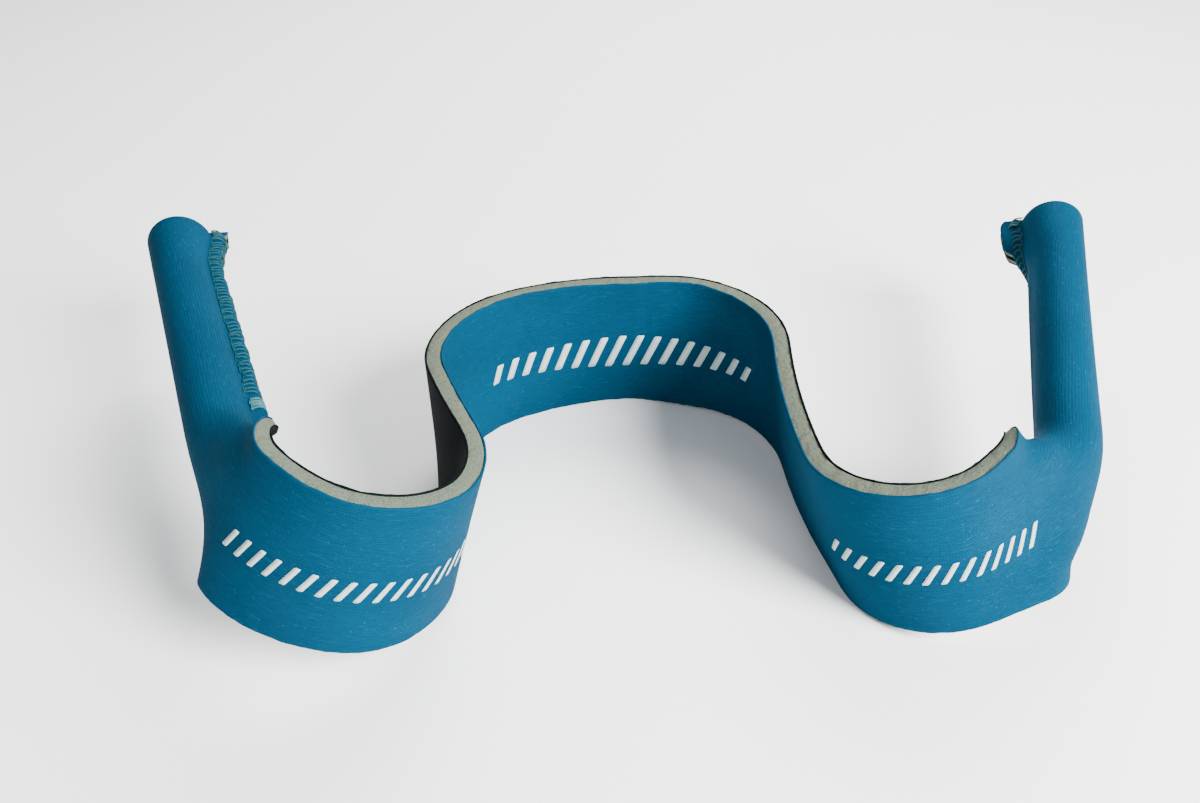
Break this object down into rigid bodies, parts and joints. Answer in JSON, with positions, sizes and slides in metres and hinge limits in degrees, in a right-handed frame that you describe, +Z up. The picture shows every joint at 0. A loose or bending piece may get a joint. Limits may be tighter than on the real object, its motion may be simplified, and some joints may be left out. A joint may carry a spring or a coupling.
{
  "type": "eyeglass retainer strap",
  "caption": "Neoprene retainer strap for glasses, bent into a W, with a sewn sleeve at each end that grips a temple arm.",
  "frame": {"origin": "centre of the bounding box's base, on the surface that the strap stands on", "axes": "+X to the right across the W, +Y away from the lobes towards the sleeves' mouths, +Z up"},
  "size_m": [0.1852, 0.0966, 0.0376],
  "materials": {
    "face_jersey": "knitted blue nylon jersey",
    "foam_core": "matt grey-cream neoprene foam, cut edge",
    "lining_jersey": "knitted black nylon jersey",
    "seam_thread": "teal polyester overlock thread",
    "printed_film": "satin white heat-transfer film"
  },
  "bodies": {
    "left_sleeve": {"left_sleeve_face": "face_jersey", "left_sleeve_foam": "foam_core", "left_sleeve_lining": "lining_jersey", "left_seam_thread": "seam_thread", "left_neck_bartack": "seam_thread", "left_mouth_bartack": "seam_thread"},
    "left_outer_band": {"left_outer_band_face": "face_jersey", "left_outer_band_foam": "foam_core", "left_outer_band_lining": "lining_jersey", "left_outer_mark": "printed_film"},
    "left_inner_band": {"left_inner_band_face": "face_jersey", "left_inner_band_foam": "foam_core", "left_inner_band_lining": "lining_jersey", "left_inner_mark": "printed_film", "middle_left_mark": "printed_film"},
    "right_sleeve": {"right_sleeve_face": "face_jersey", "right_sleeve_foam": "foam_core", "right_sleeve_lining": "lining_jersey", "right_seam_thread": "seam_thread", "right_neck_bartack": "seam_thread", "right_mouth_bartack": "seam_thread"},
    "right_outer_band": {"right_outer_band_face": "face_jersey", "right_outer_band_foam": "foam_core", "right_outer_band_lining": "lining_jersey", "right_outer_mark": "printed_film"},
    "right_inner_band": {"right_inner_band_face": "face_jersey", "right_inner_band_foam": "foam_core", "right_inner_band_lining": "lining_jersey", "right_inner_mark": "printed_film", "middle_right_mark": "printed_film"}
  },
  "joints": [
    {"name": "left_lobe_bend", "type": "hinge", "parent": "left_inner_band", "child": "left_outer_band", "pos_m": [-0.03403, -0.04453, 0.0188], "axis": [0.3206, 0.0765, 0.9441], "range_deg": [-10, 60]},
    {"name": "left_neck_bend", "type": "hinge", "parent": "left_outer_band", "child": "left_sleeve", "pos_m": [-0.05463, -0.0383, 0.02501], "axis": [0.3673, 0.1818, 0.9122], "range_deg": [-25, 20]},
    {"name": "middle_bend", "type": "hinge", "parent": "left_inner_band", "child": "right_inner_band", "pos_m": [0.00191, 0.0229, 0.01345], "axis": [-0.0122, -0.0331, 0.9994], "range_deg": [-15, 30]},
    {"name": "right_lobe_bend", "type": "hinge", "parent": "right_inner_band", "child": "right_outer_band", "pos_m": [0.03728, -0.03621, 0.01419], "axis": [0.2073, -0.0107, -0.9782], "range_deg": [-10, 60]},
    {"name": "right_neck_bend", "type": "hinge", "parent": "right_outer_band", "child": "right_sleeve", "pos_m": [0.06067, -0.02968, 0.01795], "axis": [0.3339, -0.339, -0.8795], "range_deg": [-25, 20]}
  ]
}
